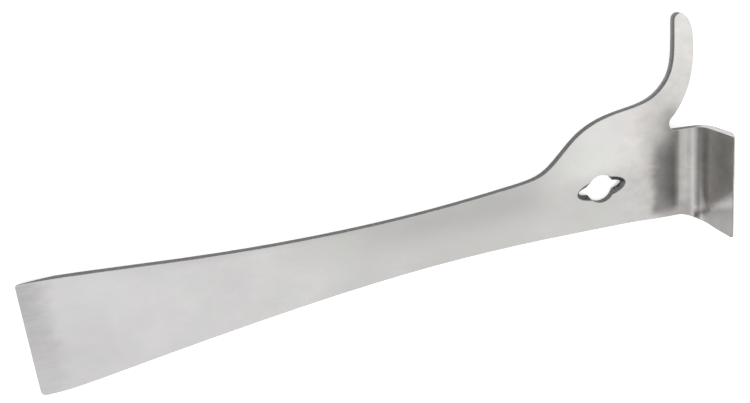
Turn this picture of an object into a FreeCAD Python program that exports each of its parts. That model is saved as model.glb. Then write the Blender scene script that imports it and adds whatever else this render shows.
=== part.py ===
"""Hive tool, made from one piece of stainless steel plate: cut to outline, bent up and ground at both ends.

Millimetres. The drawing's zero is on the strip's centre line, level with the nail hole; +X runs along
the tool towards the bent flange, +Y towards the hooked claw, and +Z up through the plate. The finished
part is moved so that its zero is the middle of its box, still at the level of the underside.
"""
import FreeCAD, Part
import math
import os

V = FreeCAD.Vector

# Plate
PLATE = 3.0                 # thickness
LENGTH = 254.0              # blade edge to the outer face of the flange

# Scraper blade
BLADE_LOW_Y = -32.6         # the blade's two side edges, where they reach the cutting edge
BLADE_HIGH_Y = 9.1
BLADE_LOW_CORNER = 1.7
BLADE_HIGH_CORNER = 0.9
BEVEL_LENGTH = 12.5         # long bevel, ground on the underside
BEVEL_EDGE = 0.45           # thickness that is left at the cutting edge
FACET_LENGTH = 9.0          # shallow honing facet, on the upper face
FACET_DEPTH = 0.2

# Bend and flange
BEND_X = 31.5               # where the plate starts to bend up
BEND_RADIUS = 8.3           # inside of the bend
FLANGE_HEIGHT = 27.2        # underside to flange tip
STRIP_HIGH_Y = 17.4         # the strip's two sides, where it starts to bend
STRIP_LOW_Y = -17.0
TIP_HIGH_Y = 19.5           # the flange's two sides, at its tip
TIP_LOW_Y = -19.7
TIP_BEVEL = 5.0             # scraper bevel on the flange's outer face
TIP_EDGE = 0.6              # thickness that is left at the flange's tip
TIP_HIGH_CORNER = 1.1
TIP_LOW_CORNER = 1.5

# Claw and the notch between the claw and the flange
CLAW_INNER_X = 30.8         # straight side of the claw, which hooks under a frame
CLAW_TIP_Y = 61.4
CLAW_TIP_ROUND = 2.3
NOTCH_RADIUS = 3.0
NOTCH_OPENS = 140.0         # degrees round the notch, where its wall runs out into the claw
TIP_ROUND_ENDS = 51.0       # degrees round the tip, where it runs out into the claw's outer side

# Nail hole: a round hole with a tapering slot to each side, which grips a nail under its head.
# The slots are countersunk from both faces. Each size pair is an ellipse's half length and half width.
HOLE_RADIUS = 5.5
HOLE_Y = 0.2
SLOT_TILT = 5.0             # degrees from the tool's length
SLOT_SIZE = (8.6, 1.9)      # at the waist, where the two countersinks meet
SLOT_WAIST = 1.2            # height of the waist above the underside
UPPER_SINK = (10.0, 4.1)    # at the upper face
LOWER_SINK = (9.3, 2.9)     # at the underside

BLADE_X = BEND_X + BEND_RADIUS + PLATE - LENGTH
FLANGE_X = BEND_X + BEND_RADIUS + PLATE
BOX_MIDDLE = V((BLADE_X + FLANGE_X) / 2, (BLADE_LOW_Y + CLAW_TIP_Y) / 2, 0)

# Points on the plate's long side edges, from the blade towards the bend
UPPER_SIDE = [(-189.0, 8.2), (-153.0, 5.5), (-105.0, 3.9), (-70.0, 4.8), (-34.0, 7.8),
              (-23.5, 10.1), (-15.3, 16.6), (-8.0, 22.9), (1.0, 27.0), (11.0, 28.9),
              (21.5, 31.5), (29.0, 39.3), (30.7, 49.0)]
LOWER_SIDE = [(-201.0, -32.2), (-183.0, -29.75), (-146.0, -24.35), (-107.0, -19.5),
              (-67.0, -16.2), (-35.0, -15.3), (0.0, -15.7), (16.0, -16.2)]
CLAW_OUTER_SIDE = [(36.7, 58.4), (38.2, 54.0), (38.6, 47.5), (37.75, 38.3), (35.55, 31.3), (32.6, 26.1)]

# How the strip flares as it goes through the bend and up the flange. The first number of each
# pair is the distance along the diagonal that halves the bend, and the second is Y.
FLARE_HIGH = [(6.5, 18.1), (12.7, 18.7)]
FLARE_LOW = [(3.3, -17.5), (7.0, -18.7), (13.0, -19.6)]


def line(a, b):
    return Part.LineSegment(V(*a), V(*b)).toShape()


def arc(centre, radius, start, end):
    """Arc in the XY plane, in degrees; it runs clockwise when end is less than start."""
    angles = [math.radians(start + (end - start) * part) for part in (0.0, 0.5, 1.0)]
    ends = [V(centre[0] + radius * math.cos(a), centre[1] + radius * math.sin(a), 0) for a in angles]
    return Part.Arc(*ends).toShape()


def smooth(points, start_direction=None, end_direction=None):
    """Smooth curve through points in the XY plane, which may be given its two end directions."""
    through = [V(x, y, 0) for x, y in points]
    curve = Part.BSplineCurve()
    if start_direction is None:
        curve.interpolate(through)
    else:
        start, end = V(*start_direction, 0), V(*end_direction, 0)
        curve.interpolate(Points=through, InitialTangent=start, FinalTangent=end)
    return curve.toShape()


def on_circle(centre, radius, degrees):
    angle = math.radians(degrees)
    return (centre[0] + radius * math.cos(angle), centre[1] + radius * math.sin(angle))


def flat_outline():
    """Outline of the flat plate, clockwise from the strip's lower side round the blade and claw."""
    low_corner = (BLADE_X + BLADE_LOW_CORNER, BLADE_LOW_Y + BLADE_LOW_CORNER)
    high_corner = (BLADE_X + BLADE_HIGH_CORNER, BLADE_HIGH_Y - BLADE_HIGH_CORNER)
    tip = (CLAW_INNER_X + CLAW_TIP_ROUND, CLAW_TIP_Y - CLAW_TIP_ROUND)
    notch = (BEND_X, STRIP_HIGH_Y + NOTCH_RADIUS)

    lower = [(BEND_X, STRIP_LOW_Y)] + LOWER_SIDE[::-1] + [(low_corner[0], BLADE_LOW_Y)]
    upper = [(high_corner[0], BLADE_HIGH_Y)] + UPPER_SIDE + [(CLAW_INNER_X, tip[1])]
    tip_end = on_circle(tip, CLAW_TIP_ROUND, TIP_ROUND_ENDS)
    notch_start = on_circle(notch, NOTCH_RADIUS, NOTCH_OPENS)
    claw = [tip_end] + CLAW_OUTER_SIDE + [notch_start]
    edges = [
        smooth(lower, (-1.0, 0.0), (-1.0, 0.0)),
        arc(low_corner, BLADE_LOW_CORNER, 270, 180),
        line((BLADE_X, low_corner[1], 0), (BLADE_X, high_corner[1], 0)),
        arc(high_corner, BLADE_HIGH_CORNER, 180, 90),
        smooth(upper, (1.0, 0.0), (0.0, 1.0)),
        arc(tip, CLAW_TIP_ROUND, 180, TIP_ROUND_ENDS),
        smooth(claw),
        arc(notch, NOTCH_RADIUS, NOTCH_OPENS, 270),
        line((BEND_X, STRIP_HIGH_Y, 0), (BEND_X, STRIP_LOW_Y, 0)),
    ]
    return Part.Wire(edges)


def flat_plate():
    return Part.Face(flat_outline()).extrude(V(0, 0, PLATE))


def bent_strip():
    """The strip's side view, through the bend and up the flange, run across the tool's width."""
    outer = BEND_RADIUS + PLATE
    diagonal = math.sqrt(0.5)
    inner_x = BEND_X + BEND_RADIUS
    high = PLATE + BEND_RADIUS

    def bend(radius):
        points = [
            V(BEND_X, 0, high - radius),
            V(BEND_X + radius * diagonal, 0, high - radius * diagonal),
            V(BEND_X + radius, 0, high),
        ]
        return Part.Arc(*points).toShape()

    edges = [
        bend(BEND_RADIUS),
        line((inner_x, 0, high), (inner_x, 0, FLANGE_HEIGHT)),
        line((inner_x, 0, FLANGE_HEIGHT), (inner_x + TIP_EDGE, 0, FLANGE_HEIGHT)),
        line((inner_x + TIP_EDGE, 0, FLANGE_HEIGHT), (FLANGE_X, 0, FLANGE_HEIGHT - TIP_BEVEL)),
        line((FLANGE_X, 0, FLANGE_HEIGHT - TIP_BEVEL), (FLANGE_X, 0, high)),
        bend(outer),
        line((BEND_X, 0, 0), (BEND_X, 0, PLATE)),
    ]
    wire = Part.Wire(Part.__sortEdges__(edges))
    width = 3 * (STRIP_HIGH_Y - STRIP_LOW_Y)
    profile = Part.Face(wire)
    profile.translate(V(0, -width / 2, 0))
    return profile.extrude(V(0, width, 0))


def flare_prism():
    """Everything between the strip's two flared sides, seen along the diagonal of the bend."""
    reach = (BEND_RADIUS + FLANGE_HEIGHT) / math.sqrt(2)
    behind = -2 * PLATE
    high = [(0.0, STRIP_HIGH_Y)] + FLARE_HIGH + [(reach, TIP_HIGH_Y)]
    low = [(reach, TIP_LOW_Y)] + FLARE_LOW[::-1] + [(0.0, STRIP_LOW_Y)]
    edges = [
        smooth(high, (1.0, 0.0), (1.0, 0.0)),
        line((reach, TIP_HIGH_Y, 0), (reach, TIP_LOW_Y, 0)),
        smooth(low, (-1.0, 0.0), (-1.0, 0.0)),
        line((0.0, STRIP_LOW_Y, 0), (behind, STRIP_LOW_Y, 0)),
        line((behind, STRIP_LOW_Y, 0), (behind, STRIP_HIGH_Y, 0)),
        line((behind, STRIP_HIGH_Y, 0), (0.0, STRIP_HIGH_Y, 0)),
    ]
    depth = 4 * FLANGE_HEIGHT
    prism = Part.Face(Part.Wire(edges)).extrude(V(0, 0, depth))
    prism.translate(V(0, 0, -depth / 2))
    prism.rotate(V(0, 0, 0), V(0, 1, 0), -45)
    prism.translate(V(BEND_X, 0, PLATE))
    return prism


def tip_corner(y, inward, radius):
    """What is rounded off one corner of the flange's tip; inward is the way to its middle, in Y."""
    proud = 0.04            # the round starts this far out of the side, so that it meets it cleanly
    side = y + inward * (radius - proud)
    top = FLANGE_HEIGHT - radius
    block = Part.makeBox(4 * PLATE, 2 * radius, 2 * radius, V(FLANGE_X - 3 * PLATE, side - radius, top))
    block.translate(V(0, -inward * radius, 0))
    drum = Part.makeCylinder(radius, 5 * PLATE, V(FLANGE_X - 3 * PLATE, side, top), V(1, 0, 0))
    return block.cut(drum)


def flange():
    strip = bent_strip().common(flare_prism())
    high = tip_corner(TIP_HIGH_Y, -1, TIP_HIGH_CORNER)
    low = tip_corner(TIP_LOW_Y, 1, TIP_LOW_CORNER)
    return strip.cut([high, low])


def ellipse(size, z):
    curve = Part.Ellipse(V(0, 0, z), *size)
    return Part.Wire([curve.toShape()])


def nail_hole():
    """The round hole and the two countersunk slots, as one solid to cut away."""
    past = 1.0
    hole = Part.makeCylinder(HOLE_RADIUS, PLATE + 2 * past, V(0, 0, -past))
    upper = Part.makeLoft([ellipse(SLOT_SIZE, SLOT_WAIST), ellipse(UPPER_SINK, PLATE)], True, True)
    lower = Part.makeLoft([ellipse(LOWER_SINK, 0), ellipse(SLOT_SIZE, SLOT_WAIST)], True, True)
    above = Part.Face(ellipse(UPPER_SINK, PLATE)).extrude(V(0, 0, past))
    below = Part.Face(ellipse(LOWER_SINK, 0)).extrude(V(0, 0, -past))
    slots = upper.fuse([lower, above, below])
    slots.rotate(V(0, 0, 0), V(0, 0, 1), SLOT_TILT)
    cut = hole.fuse(slots)
    cut.translate(V(0, HOLE_Y, 0))
    return cut


def blade_wedge(corners):
    """A wedge with these three (x, z) corners, run across the whole blade."""
    width = 2 * (BLADE_HIGH_Y - BLADE_LOW_Y)
    points = [V(x, BLADE_LOW_Y - width / 4, z) for x, z in corners]
    face = Part.Face(Part.makePolygon(points + points[:1]))
    return face.extrude(V(0, width, 0))


def blade_grind():
    """What is ground off the blade: a long bevel underneath and a shallow facet on top."""
    past = 1.0
    slope = (PLATE - FACET_DEPTH - BEVEL_EDGE) / BEVEL_LENGTH
    bevel_end = PLATE - FACET_DEPTH - BEVEL_EDGE + past * slope
    bevel = blade_wedge([
        (BLADE_X + BEVEL_LENGTH, 0),
        (BLADE_X - past, bevel_end),
        (BLADE_X - past, 0),
    ])
    facet_end = PLATE - FACET_DEPTH - past * FACET_DEPTH / FACET_LENGTH
    facet = blade_wedge([
        (BLADE_X + FACET_LENGTH, PLATE),
        (BLADE_X - past, PLATE),
        (BLADE_X - past, facet_end),
    ])
    return bevel.fuse(facet)


def steel_body():
    body = flat_plate().fuse(flange()).removeSplitter()
    body = body.cut(nail_hole()).cut(blade_grind())
    body.translate(-BOX_MIDDLE)
    return body


def main():
    os.makedirs("parts", exist_ok=True)
    body = steel_body()
    print("valid", body.isValid(), "solids", len(body.Solids), "volume", round(body.Volume, 1))
    print("box", body.BoundBox)
    body.exportStep("parts/steel_body.step")


main()
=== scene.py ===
"""Looks of the hive tool: its steel with rounded edges, on a pale floor in soft studio light. Metres."""
import bpy
import bmesh
import math
from mathutils import Euler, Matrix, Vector


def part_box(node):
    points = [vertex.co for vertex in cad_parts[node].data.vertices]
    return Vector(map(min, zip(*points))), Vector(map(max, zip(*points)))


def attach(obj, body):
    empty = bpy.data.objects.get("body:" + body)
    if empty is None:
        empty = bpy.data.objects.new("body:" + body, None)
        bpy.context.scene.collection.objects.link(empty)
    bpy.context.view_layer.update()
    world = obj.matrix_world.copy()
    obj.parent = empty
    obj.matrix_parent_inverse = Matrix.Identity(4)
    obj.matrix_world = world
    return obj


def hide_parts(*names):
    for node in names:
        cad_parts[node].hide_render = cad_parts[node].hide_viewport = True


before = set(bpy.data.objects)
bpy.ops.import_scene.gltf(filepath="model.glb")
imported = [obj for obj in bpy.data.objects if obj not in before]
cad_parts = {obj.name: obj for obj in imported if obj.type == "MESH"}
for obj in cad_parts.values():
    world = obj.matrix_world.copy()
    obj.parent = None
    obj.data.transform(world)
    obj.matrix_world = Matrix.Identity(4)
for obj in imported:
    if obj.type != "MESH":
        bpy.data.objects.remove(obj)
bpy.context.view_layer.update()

MM = 0.001
NODE = "steel_body"
LOW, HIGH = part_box(NODE)

# Places on the tool, in the frame
BLADE_EDGE_X = LOW.x
BLADE_LENGTH = 13 * MM              # the bevel ends just before this
BLADE_HIGH_Y = -5.3 * MM            # the blade's corner on the claw's side
BLADE_LOW_Y = -40 * MM
BEND_X = HIGH.x - 11.3 * MM         # where the plate starts to bend up
BEND_START = (BEND_X - 1.4 * MM, BEND_X + 0.4 * MM)
STRIP_TOP_Y = 5.2 * MM              # just past the strip's side that faces the claw
TIP_BEVEL = 6 * MM                  # the flange's back bevel lies within this of its top
HOLE = Vector((84.2 * MM, -14.2 * MM, 0))
HOLE_REACH = 10.3 * MM              # half length of the countersunk slots
GRIP_START = (-45 * MM, 15 * MM)    # where the handle's painted darker reflection sets in

# The floor is this far below the underside, so that the two surfaces never share a plane
FLOOR_Z = -0.05 * MM
FLOOR_HALF = 3.0

# How much light each kind of steel sends back
STEEL = 0.46
GROUND_STEEL = 0.9 * STEEL
# Painted shade: the cut sides and the hole's walls are painted much darker than the faces, as they would
# otherwise mirror the bright floor
SHADED_CUT_STEEL = 0.145
SHADED_SINK_STEEL = 0.13

# Steel tints, from the blade to the bend
BLADE_TINT = (1.0, 0.984, 0.994)
HANDLE_TINT = (1.0, 0.984, 0.962)
BEND_TINT = (1.0, 0.975, 0.948)
CUT_TINT = (1.0, 0.995, 0.985)

# Edges
WELD = 0.06 * MM
FLAT = math.radians(0.4)            # faces closer in angle than this are joined
SHARP = math.radians(30)            # edges that are deburred
ROUND = 0.14 * MM                   # how far the deburring reaches over each face
ROUND_STEPS = 3
EPSILON = 0.1 * MM

# Order of the materials on the piece
FACE, CUT, WORN, GROUND, SINK = range(5)


class Graph:
    """Shorthand for adding linked nodes to one node tree."""

    def __init__(self, tree):
        self.tree = tree
        tree.nodes.clear()

    def plug(self, socket, value):
        """Link a socket to another node's output, or set it to a plain value."""
        if isinstance(value, bpy.types.NodeSocket):
            self.tree.links.new(value, socket)
        else:
            socket.default_value = value

    def node(self, kind, inputs=None, **settings):
        made = self.tree.nodes.new(kind)
        for name, value in settings.items():
            setattr(made, name, value)
        for name, value in (inputs or {}).items():
            self.plug(made.inputs[name], value)
        return made

    def math(self, operation, *values):
        return self.node("ShaderNodeMath", dict(enumerate(values)), operation=operation).outputs[0]

    def product(self, first, *others):
        for value in others:
            first = self.math("MULTIPLY", first, value)
        return first

    def dimmed(self, light, amount):
        """light, less the share amount."""
        return self.product(light, self.math("SUBTRACT", 1.0, amount))

    def lifted(self, light, amount):
        """light, plus the share amount."""
        return self.product(light, self.math("ADD", 1.0, amount))

    def vector(self, operation, *values):
        made = self.node("ShaderNodeVectorMath", dict(enumerate(values)), operation=operation)
        return made.outputs["Value" if operation == "DOT_PRODUCT" else "Vector"]

    def noise(self, where, stretch, detail=3.0, rough=0.55):
        """Noise from 0 to 1; stretch is how many times it varies in a metre along X, Y and Z."""
        place = self.vector("MULTIPLY", where, stretch)
        inputs = {"Vector": place, "Scale": 1.0, "Detail": detail, "Roughness": rough}
        return self.node("ShaderNodeTexNoise", inputs).outputs[0]

    def between(self, value, start, end, low=0.0, high=1.0, shape="SMOOTHSTEP"):
        """low before start, high after end, and smooth in between."""
        ends = {"Value": value, "From Min": start, "From Max": end, "To Min": low, "To Max": high}
        return self.node("ShaderNodeMapRange", ends, interpolation_type=shape).outputs[0]

    def even(self, value, start, end, low=0.0, high=1.0):
        """The same, along a straight line."""
        return self.between(value, start, end, low, high, "LINEAR")

    def wandering(self, value, noise, reach):
        """value moved to and fro by noise, so that a border drawn with it is uneven."""
        return self.math("ADD", value, self.product(self.math("SUBTRACT", noise, 0.5), reach))

    def mix(self, amount, a, b, blend="MIX"):
        made = self.node("ShaderNodeMix", data_type="RGBA", blend_type=blend)
        for index, value in ((0, amount), (6, a), (7, b)):
            self.plug(made.inputs[index], value)
        return made.outputs[2]

    def scaled(self, colour, factor):
        """colour made lighter or darker by factor."""
        inputs = {0: colour, "Scale": factor}
        return self.node("ShaderNodeVectorMath", inputs, operation="SCALE").outputs[0]


def grey(level, tint=(1.0, 1.0, 1.0)):
    return (level * tint[0], level * tint[1], level * tint[2], 1.0)


def steel(name):
    """A new material's graph, with the place in the object's frame as a vector and as x, y and z."""
    material = bpy.data.materials.new(name)
    material.use_nodes = True
    graph = Graph(material.node_tree)
    place = graph.node("ShaderNodeTexCoord").outputs["Object"]
    split = graph.node("ShaderNodeSeparateXYZ", {0: place})
    return material, graph, place, split.outputs


def finish_steel(graph, colour, roughness, height, depth):
    """The shader; height is a bump from 0 to 1 that is depth metres deep."""
    bump = graph.node("ShaderNodeBump", {"Height": height, "Strength": 1.0, "Distance": depth})
    inputs = {"Base Color": colour, "Roughness": roughness, "Metallic": 1.0, "Normal": bump.outputs[0]}
    shader = graph.node("ShaderNodeBsdfPrincipled", inputs)
    graph.node("ShaderNodeOutputMaterial", {"Surface": shader.outputs[0]})


def scratches(g, place, turn, spread, share):
    """Sparse fine scratches that run near one direction; 1 on a scratch and 0 off it."""
    inputs = {"Vector": place, "Angle": turn}
    turned = g.node("ShaderNodeVectorRotate", inputs, rotation_type="Z_AXIS").outputs[0]
    line = g.noise(turned, spread, 1.0, 0.4)
    return g.between(line, 1.0 - share, 1.0 - share + 0.035)


# Painted reflection and shade where the plate bends up into the flange

def painted_light_side(g):
    """1 on the upper face and the flange's hollow side, 0 on the underside and the flange's back."""
    way = g.node("ShaderNodeTexCoord").outputs["Normal"]
    return g.between(g.vector("DOT_PRODUCT", way, (-0.7, 0.0, 0.7)), -0.15, 0.15)


def beside_bend(g, x, x_near, y_near):
    """A painted reflection of the flange's dark face: a darker patch on the plate just before the bend,
    fading towards both sides of the tool.
    """
    soft = g.between(x_near, BEND_X - 15 * MM, BEND_X - 8 * MM, 0.0, 0.20)
    firm = g.between(x_near, BEND_X - 12 * MM, BEND_X - 7 * MM, 0.0, 0.38)
    before_bend = g.between(x, *BEND_START, 1.0, 0.0)
    from_claw = g.between(y_near, 7 * MM, -9 * MM)
    from_low_side = g.between(y_near, -31 * MM, -26 * MM, 0.35, 1.0)
    return g.product(g.math("ADD", soft, firm), before_bend, from_claw, from_low_side)


def bend_strip(g, x, y):
    """Painted shade: the first few millimetres of the bend, a little darker."""
    after_start = g.between(x, *BEND_START)
    before_end = g.between(x, BEND_X + 2.4 * MM, BEND_X + 4.2 * MM, 0.23, 0.0)
    off_claw = g.between(y, STRIP_TOP_Y, STRIP_TOP_Y + 1 * MM, 1.0, 0.0)
    return g.product(after_start, before_end, off_claw)


def flange_foot(g, y_near, z, up_flange):
    """Painted shade at the flange's foot, with a painted lighter patch at its low end."""
    low_down = g.between(z, 9.5 * MM, 12.5 * MM, 0.38, 0.0)
    return g.product(up_flange, low_down, g.between(y_near, -32 * MM, -26 * MM, -0.3, 1.0))


def flange_painted_reflection(g, y, y_near, z, up_flange):
    """Painted reflection on the flange: a slanting lighter border, and a darker area below it."""
    light_line = g.math("SUBTRACT", g.product(z, 0.79), 35.9 * MM)
    lighter = g.between(g.math("SUBTRACT", light_line, y_near), 0.0, 3.0 * MM, 0.0, 0.40)
    dark_line = g.math("SUBTRACT", g.product(z, 0.4), 32.6 * MM)
    darker = g.between(g.math("SUBTRACT", dark_line, y), -2.5 * MM, 1.5 * MM, 0.0, 0.82)
    return g.product(g.math("SUBTRACT", lighter, darker), up_flange)


def low_side(g, x, y_near, z):
    """Painted shade on the bend's low side, up to where the flange begins."""
    across = g.between(y_near, -23 * MM, -27 * MM)
    along = g.between(x, BEND_X - 10 * MM, BEND_X)
    return g.product(across, along, g.between(z, 4 * MM, 6 * MM, 0.18, 0.0))


def low_corner(g, y, z):
    """A small painted highlight where the bend's low side meets the flange."""
    across = g.between(y, -27 * MM, -31 * MM)
    return g.product(across, g.between(z, 5.4 * MM, 6.8 * MM), g.between(z, 8.0 * MM, 9.5 * MM, 0.45, 0.0))


def bend_painted_light(g, x, y, z, blotch):
    """The share of light that the painted reflection and shade leave, near 1 where none is painted."""
    x_near, y_near = g.wandering(x, blotch, 7 * MM), g.wandering(y, blotch, 7 * MM)
    up_flange = g.between(z, 4.9 * MM, 6.0 * MM)
    painted_light = g.dimmed(1.0, beside_bend(g, x, x_near, y_near))
    painted_light = g.dimmed(painted_light, bend_strip(g, x, y))
    painted_light = g.dimmed(painted_light, flange_foot(g, y_near, z, up_flange))
    painted_light = g.lifted(painted_light, flange_painted_reflection(g, y, y_near, z, up_flange))
    painted_light = g.dimmed(painted_light, low_side(g, x, y_near, z))
    return g.lifted(painted_light, low_corner(g, y, z))


# The rolled faces

def ground_band(g, x, y, blotch):
    """The band behind the blade's edge that honing leaves, stronger on the claw's side."""
    from_edge = g.wandering(g.math("SUBTRACT", x, BLADE_EDGE_X), blotch, 12 * MM)
    band = g.between(from_edge, 4 * MM, 13 * MM, 1.0, 0.0)
    return g.product(band, g.even(y, BLADE_LOW_Y, BLADE_HIGH_Y, 0.35, 1.0))


def handle_painted_reflection(g, x, y, y_near):
    """How much darker the handle is painted, as a painted reflection: most along its upper rim, a little
    lower down.
    """
    start = g.between(x, *GRIP_START)
    handle_part = g.product(start, g.between(x, 50 * MM, 72 * MM, 1.0, 0.0))
    handle_part = g.product(handle_part, g.between(y_near, -26 * MM, -10 * MM, 0.02, 0.20))
    lower = g.product(start, g.between(y, -17 * MM, -2 * MM, 0.11, 0.03))
    lower = g.product(lower, g.between(x, 98 * MM, 110 * MM, 1.0, 0.0))
    rim = g.product(g.between(x, -100 * MM, -50 * MM), g.between(x, -30 * MM, 10 * MM, 1.0, 0.0))
    rim = g.product(rim, g.between(y, -13 * MM, -6 * MM, 0.0, 0.24))
    return g.math("ADD", g.math("ADD", handle_part, lower), rim)


def painted_highlight(g, x, y, y_near):
    """How much brighter the hump and the claw are painted than the rest: a painted highlight."""
    hump = g.product(g.between(x, 66 * MM, 84 * MM), g.between(x, 94 * MM, 106 * MM, 1.0, 0.0))
    hump = g.product(hump, g.between(y_near, -14 * MM, -5 * MM, 0.0, 0.15))
    claw = g.between(y, 16 * MM, 44 * MM, 0.0, 0.18)
    return g.math("ADD", hump, claw)


def mottling(g, x, place, blotch, grain, speck):
    """Uneven light: blotches, clouds, grain and specks, with stronger marbling near the bend."""
    light = g.even(blotch, 0.28, 0.72, 0.955, 1.045)
    cloud = g.noise(place, (24, 32, 32), 2.0, 0.5)
    for noise, depth in ((cloud, 0.035), (grain, 0.012), (speck, 0.008)):
        light = g.product(light, g.even(noise, 0.3, 0.7, 1 - depth, 1 + depth))
    marble = g.product(g.math("SUBTRACT", g.noise(place, (190, 260, 260), 3.0, 0.6), 0.5), 0.36)
    return g.lifted(light, g.product(marble, g.between(x, 85 * MM, 100 * MM)))


def steel_colour(g, x, place):
    """Clean steel's colour: cool at the blade, warmer towards the bend, with a faint shifting cast."""
    clean = g.mix(g.between(x, -100 * MM, 10 * MM), grey(STEEL, BLADE_TINT), grey(STEEL, HANDLE_TINT))
    warm = g.mix(g.between(x, 88 * MM, 110 * MM), clean, grey(STEEL, BEND_TINT))
    tint = g.noise(g.vector("ADD", place, (0.31, 0.17, 0.05)), (60, 75, 75), 3.0, 0.5)
    cool_cast, rosy_cast = grey(1.0, (0.992, 1.003, 0.992)), grey(1.0, (1.012, 0.996, 1.003))
    return g.mix(1.0, warm, g.mix(g.between(tint, 0.32, 0.68), cool_cast, rosy_cast), "MULTIPLY")


def brushed_face():
    """The rolled faces: satin and softly blotched, with fine grain along the tool."""
    material, g, place, (x, y, z) = steel("brushed_face")
    blotch = g.noise(place, (85, 110, 110), 4.0, 0.62)
    grain = g.noise(place, (110, 2000, 2000), 3.0, 0.6)
    speck = g.noise(place, (1500, 1500, 1500), 2.0, 0.6)
    streak = g.noise(place, (110, 800, 800), 3.0, 0.7)
    y_near = g.wandering(y, blotch, 12 * MM)

    band = ground_band(g, x, y, blotch)
    light = mottling(g, x, place, blotch, grain, speck)
    light = g.dimmed(light, g.product(band, g.even(streak, 0.35, 0.65, 0.27, 0.17)))
    # Painted reflection: the handle is painted darker
    light = g.dimmed(light, handle_painted_reflection(g, x, y, y_near))
    # Painted highlight on the hump and the claw
    light = g.lifted(light, painted_highlight(g, x, y, y_near))
    # Painted reflection and shade around the bend, only on the upper face and the flange's hollow side
    painted_light = g.math("SUBTRACT", bend_painted_light(g, x, y, z, blotch), 1.0)
    light = g.lifted(light, g.product(painted_light, painted_light_side(g)))

    along = scratches(g, place, 0.03, (95, 1500, 900), 0.265)
    across = scratches(g, place, -1.1, (70, 1500, 900), 0.235)
    mark = g.math("MAXIMUM", along, g.product(across, 0.6))
    light = g.math("ADD", light, g.product(mark, 0.045))
    colour = g.scaled(steel_colour(g, x, place), light)

    roughness = g.even(blotch, 0.3, 0.7, 0.28, 0.33)
    roughness = g.math("ADD", roughness, g.product(band, 0.06))
    roughness = g.math("ADD", roughness, g.product(mark, 0.05))
    height = g.math("ADD", g.product(grain, 0.22), g.product(speck, 0.06))
    height = g.math("ADD", height, g.product(blotch, 4.0))
    height = g.math("SUBTRACT", height, g.product(mark, 0.3))
    finish_steel(g, colour, roughness, height, 0.010 * MM)
    return material


# The other materials

def cut_edge():
    """The cut sides of the plate: rough, with striations through the thickness, and dark with painted shade
    that lifts up the flange.
    """
    material, g, place, (x, _, z) = steel("cut_edge")
    line = g.noise(place, (1900, 1900, 140), 2.0, 0.6)
    patch = g.noise(place, (260, 260, 260), 3.0, 0.6)
    burnish = g.between(g.wandering(z, patch, 1.2 * MM), 0.9 * MM, 1.9 * MM, 0.75, 0.0)
    burnish = g.product(burnish, g.between(x, 90 * MM, 106 * MM, 0.2, 1.0))
    light = g.product(g.even(line, 0.3, 0.7, 0.82, 1.16), g.even(patch, 0.3, 0.7, 0.86, 1.12))
    light = g.lifted(light, burnish)
    # Painted shade: the cut sides are dark low on the plate and much lighter up the flange
    up_flange = g.between(z, 4 * MM, 7 * MM, 1.0, 3.7)
    colour = g.scaled(grey(SHADED_CUT_STEEL, CUT_TINT)[:3], g.product(light, up_flange))
    roughness = g.even(patch, 0.3, 0.7, 0.5, 0.62)
    finish_steel(g, colour, roughness, line, 0.02 * MM)
    return material


def worn_edge():
    """The deburred edges: brighter and smoother where handling has polished them, and darker up the flange.
    """
    material, g, place, (_, _, z) = steel("worn_edge")
    patch = g.noise(place, (160, 160, 160), 3.0, 0.6)
    nick = g.noise(place, (1200, 1200, 1200), 2.0, 0.6)
    light = g.product(g.even(patch, 0.35, 0.65, 0.72, 1.0), g.even(nick, 0.3, 0.7, 0.9, 1.05))
    light = g.product(light, g.between(z, 5 * MM, 8 * MM, 1.0, 0.4))
    colour = g.scaled(grey(STEEL)[:3], light)
    roughness = g.even(patch, 0.3, 0.7, 0.3, 0.42)
    finish_steel(g, colour, roughness, nick, 0.012 * MM)
    return material


def ground_bevel():
    """The ground bevels under the blade and behind the flange's tip, with grinding lines up the slope."""
    material, g, place, _ = steel("ground_bevel")
    line = g.noise(place, (160, 3000, 160), 3.0, 0.65)
    patch = g.noise(place, (90, 140, 90), 3.0, 0.55)
    light = g.product(g.even(line, 0.3, 0.7, 0.88, 1.1), g.even(patch, 0.3, 0.7, 0.94, 1.05))
    colour = g.scaled(grey(GROUND_STEEL)[:3], light)
    roughness = g.even(line, 0.3, 0.7, 0.28, 0.42)
    finish_steel(g, colour, roughness, line, 0.02 * MM)
    return material


def countersink():
    """The walls of the nail hole and its slots: machined, darker with painted shade, with tool rings."""
    material, g, place, _ = steel("countersink")
    ring = g.noise(place, (220, 220, 2600), 2.0, 0.6)
    patch = g.noise(place, (330, 330, 330), 3.0, 0.6)
    light = g.product(g.even(ring, 0.3, 0.7, 0.8, 1.2), g.even(patch, 0.3, 0.7, 0.55, 1.5))
    colour = g.scaled(grey(SHADED_SINK_STEEL)[:3], light)
    roughness = g.even(patch, 0.3, 0.7, 0.42, 0.55)
    finish_steel(g, colour, roughness, ring, 0.02 * MM)
    return material


# The tool's surface

def in_nail_hole(place):
    return Vector((place.x - HOLE.x, place.y - HOLE.y)).length < HOLE_REACH


def face_kind(face):
    """Which material a face of the tool has, from where it is and which way it faces."""
    at, way = face.calc_center_median(), face.normal
    if in_nail_hole(at) and abs(way.z) < 0.98:
        return CUT if abs(way.z) < 0.02 else SINK
    if at.x < BLADE_EDGE_X + BLADE_LENGTH and way.z < 0 and -0.5 < way.x < -0.1:
        return GROUND
    if at.z > HIGH.z - TIP_BEVEL and way.x > 0.5 and 0.2 < way.z < 0.9:
        return GROUND
    on_top = at.z > HIGH.z - EPSILON
    if at.x > BEND_X and at.y < STRIP_TOP_Y and abs(way.y) < 0.5 and not on_top:
        return FACE
    if abs(way.z) < 0.3 or on_top or (at.x > BEND_X and abs(way.y) > 0.5):
        return CUT
    return FACE


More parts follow.
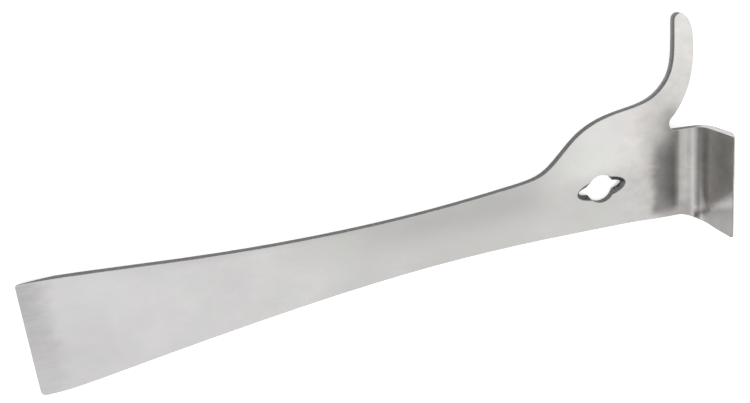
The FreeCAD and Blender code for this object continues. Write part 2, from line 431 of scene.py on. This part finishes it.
def deburred(edge):
    """True for a sharp edge of the outline, the hole's rim or the tips, but not inside the nail hole."""
    if len(edge.link_faces) != 2 or edge.calc_face_angle() < SHARP:
        return False
    middle = (edge.verts[0].co + edge.verts[1].co) / 2
    return not in_nail_hole(middle) or FACE in {face.material_index for face in edge.link_faces}


def sort_faces(shape):
    """Give every face its material, and keep the edges between two materials crisp."""
    for face in shape.faces:
        face.material_index = face_kind(face)
        face.smooth = True
    for edge in shape.edges:
        edge.smooth = len({face.material_index for face in edge.link_faces}) == 1


def tool():
    """The tool's own surface, taken from the frame, with every cut edge rounded over."""
    mesh = bpy.data.meshes.new("hive_tool_steel")
    shape = bmesh.new()
    shape.from_mesh(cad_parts[NODE].data)
    bmesh.ops.remove_doubles(shape, verts=shape.verts, dist=WELD)
    bmesh.ops.dissolve_limit(shape, angle_limit=FLAT, verts=shape.verts, edges=shape.edges)
    shape.normal_update()
    sort_faces(shape)
    sharp = [edge for edge in shape.edges if deburred(edge)]
    bmesh.ops.bevel(shape, geom=sharp, offset=ROUND, offset_type="OFFSET", segments=ROUND_STEPS, profile=0.5,
                    affect="EDGES", clamp_overlap=False, material=WORN)
    for vertex in shape.verts:
        vertex.co = [min(max(value, low), high) for value, low, high in zip(vertex.co, LOW, HIGH)]
    shape.to_mesh(mesh)
    shape.free()
    for make in (brushed_face, cut_edge, worn_edge, ground_bevel, countersink):
        mesh.materials.append(make())
    piece = bpy.data.objects.new("hive_tool_steel", mesh)
    bpy.context.scene.collection.objects.link(piece)
    normals = piece.modifiers.new("even_normals", "WEIGHTED_NORMAL")
    normals.keep_sharp = True
    return piece


# The studio

def floor():
    """A plain pale floor that the tool lies on."""
    mesh = bpy.data.meshes.new("floor")
    shape = bmesh.new()
    bmesh.ops.create_grid(shape, x_segments=1, y_segments=1, size=FLOOR_HALF)
    shape.to_mesh(mesh)
    shape.free()
    material = bpy.data.materials.new("floor")
    material.use_nodes = True
    graph = Graph(material.node_tree)
    inputs = {"Base Color": grey(0.9), "Roughness": 0.9, "Emission Color": grey(1.0),
              "Emission Strength": 0.25}
    shader = graph.node("ShaderNodeBsdfPrincipled", inputs)
    graph.node("ShaderNodeOutputMaterial", {"Surface": shader.outputs[0]})
    mesh.materials.append(material)
    made = bpy.data.objects.new("floor", mesh)
    made.location.z = FLOOR_Z
    bpy.context.scene.collection.objects.link(made)
    return made


# How bright it is overhead and at the horizon, and the heights between which it changes
OVERHEAD, HORIZON = 1.45, 0.35
HORIZON_ENDS = (0.12, 0.36)

# Soft boxes and flags: the way to each, its half width in degrees, and how much light it adds
STUDIO = [
    ((-0.50, -0.34, 0.80), 16, -0.65),
    ((-0.85, -0.34, 0.42), 6, 0.4),
    ((0.43, -0.31, 0.85), 7, 0.15),
]


def studio():
    """Even light from all round, with a few soft patches of more or less light."""
    world = bpy.data.worlds.new("studio")
    bpy.context.scene.world = world
    world.use_nodes = True
    g = Graph(world.node_tree)
    way = g.vector("NORMALIZE", g.node("ShaderNodeTexCoord").outputs["Generated"])
    upward = g.node("ShaderNodeSeparateXYZ", {0: way}).outputs[2]
    light = g.between(upward, *HORIZON_ENDS, HORIZON, OVERHEAD)
    for direction, half_width, added in STUDIO:
        towards = g.vector("DOT_PRODUCT", way, Vector(direction).normalized())
        edge = math.cos(math.radians(half_width))
        light = g.math("ADD", light, g.between(towards, 2 * edge - 1, 1.0, 0.0, added))
    back = g.node("ShaderNodeBackground", {"Color": grey(1.0), "Strength": light})
    g.node("ShaderNodeOutputWorld", {"Surface": back.outputs[0]})


# The camera: where it stands, how it is turned in degrees from looking straight down, and its lens
CAMERA_PLACE = Vector((-85.78 * MM, 127.72 * MM, 335.67 * MM))
CAMERA_TURN = (-19.029, -16.109, -6.230)
LENS = 50.0
SENSOR = 36.0
SHIFT = 0.00067


def camera():
    """Above the tool and towards its blade, looking down at the middle."""
    data = bpy.data.cameras.new("camera")
    data.lens = LENS
    data.sensor_width = SENSOR
    data.shift_x, data.shift_y = -SHIFT, SHIFT
    data.clip_start, data.clip_end = 0.01, 10.0
    made = bpy.data.objects.new("camera", data)
    made.location = CAMERA_PLACE
    made.rotation_euler = Euler([math.radians(angle) for angle in CAMERA_TURN])
    bpy.context.scene.collection.objects.link(made)
    bpy.context.scene.camera = made


def main():
    piece = tool()
    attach(piece, "root")
    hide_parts(NODE)
    floor()
    studio()
    camera()
    bpy.context.scene.view_settings.view_transform = "Standard"


main()
